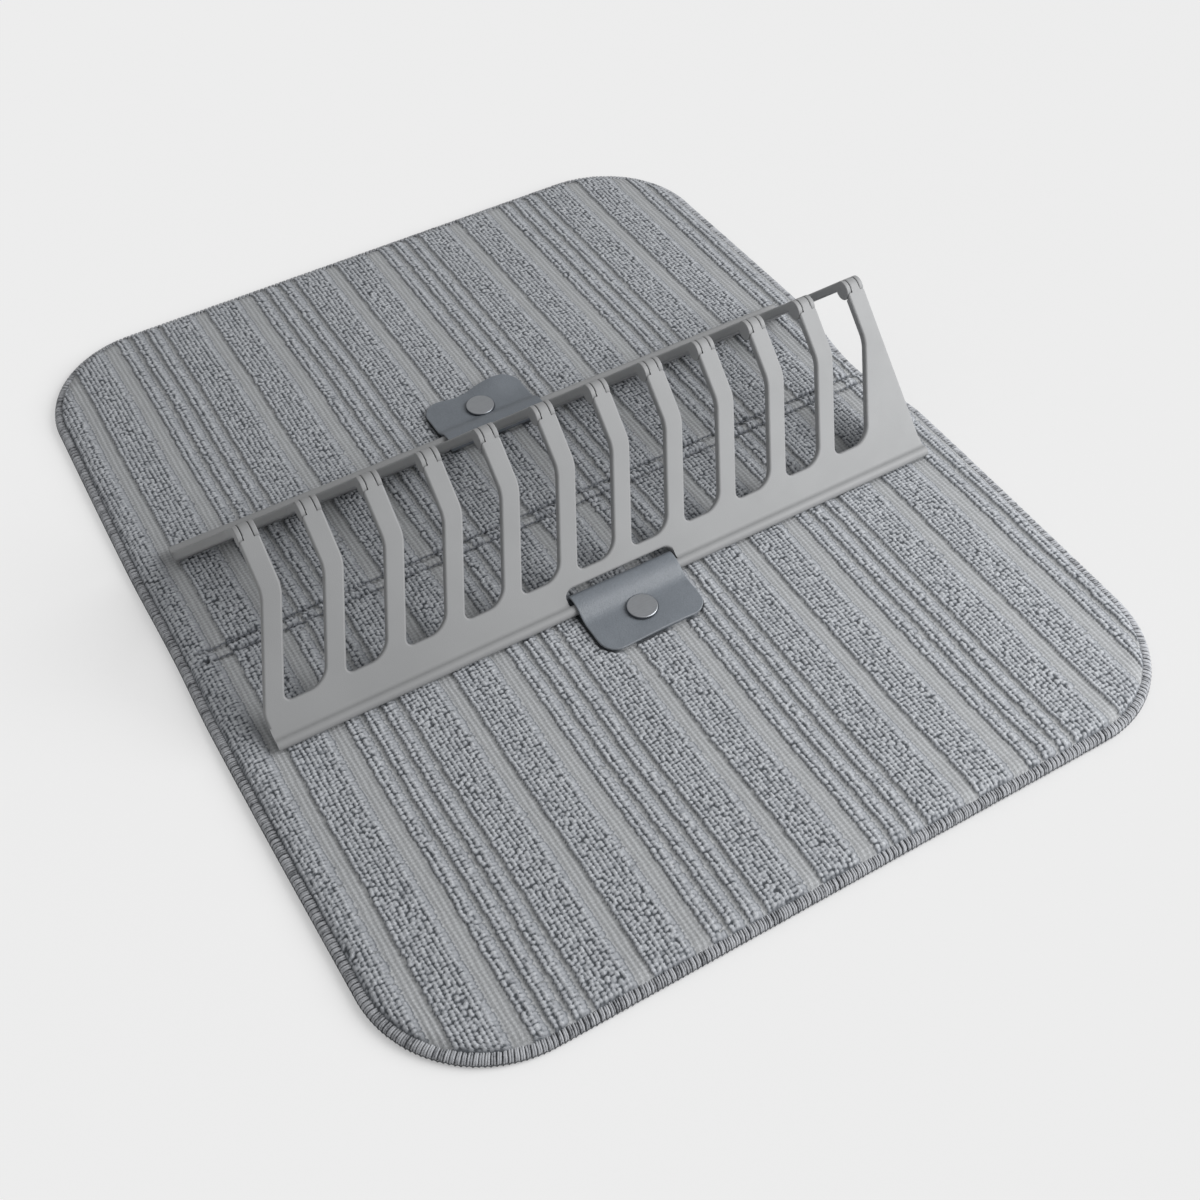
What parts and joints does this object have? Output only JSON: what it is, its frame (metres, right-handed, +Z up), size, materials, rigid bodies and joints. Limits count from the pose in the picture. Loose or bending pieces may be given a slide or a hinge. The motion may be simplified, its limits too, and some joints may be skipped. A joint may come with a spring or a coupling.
{
  "type": "dish drying mat with rack",
  "caption": "Padded drying mat of striped looped cloth that folds in half, with an A-shaped slotted plastic plate rack held by leather snap straps.",
  "frame": {"origin": "middle of the mat's underside, on the surface it lies on", "axes": "+X along the rack, +Y towards the back, +Z up"},
  "size_m": [0.4, 0.502, 0.0775],
  "materials": {
    "cloth": "looped pile and ribbed weave",
    "padding": "soft open foam",
    "backing": "close weave",
    "edging": "overlocked thread",
    "thread": "sewing thread",
    "leather": "smooth, matte",
    "metal": "satin",
    "plastic": "moulded, matte"
  },
  "bodies": {
    "rear_half": {"rear_top_cloth": "cloth", "rear_foam_core": "padding", "rear_backing_cloth": "backing", "rear_overlock_edging": "edging", "rear_seam_thread": "thread", "rear_strap": "leather", "rear_snap_cap": "metal", "rear_snap_socket": "metal", "rear_snap_stud": "metal", "rear_snap_post": "metal"},
    "front_half": {"front_top_cloth": "cloth", "front_foam_core": "padding", "front_backing_cloth": "backing", "front_overlock_edging": "edging", "front_seam_thread": "thread", "front_strap": "leather", "front_snap_cap": "metal", "front_snap_socket": "metal", "front_snap_stud": "metal", "front_snap_post": "metal"},
    "rear_panel": {"rear_rack_panel": "plastic"},
    "front_panel": {"front_rack_panel": "plastic"}
  },
  "joints": [
    {"name": "mat_fold", "type": "hinge", "parent": "rear_half", "child": "front_half", "pos_m": [0, 0, 0.0084], "axis": [-1, 0, 0], "range_deg": [0, 165], "deforming": ["front_strap"]},
    {"name": "rear_panel_pivot", "type": "hinge", "parent": "rear_half", "child": "rear_panel", "pos_m": [0, 0.0685, 0.01125], "axis": [-1, 0, 0], "range_deg": [0, 127]},
    {"name": "rack_hinge", "type": "hinge", "parent": "rear_panel", "child": "front_panel", "pos_m": [0, 0, 0.0725], "axis": [1, 0, 0], "range_deg": [0, 89]}
  ],
  "couplings": [
    {"joint": "rear_panel_pivot", "follows": "mat_fold", "ratio": 0.76898},
    {"joint": "rack_hinge", "follows": "mat_fold", "ratio": 0.53797}
  ]
}
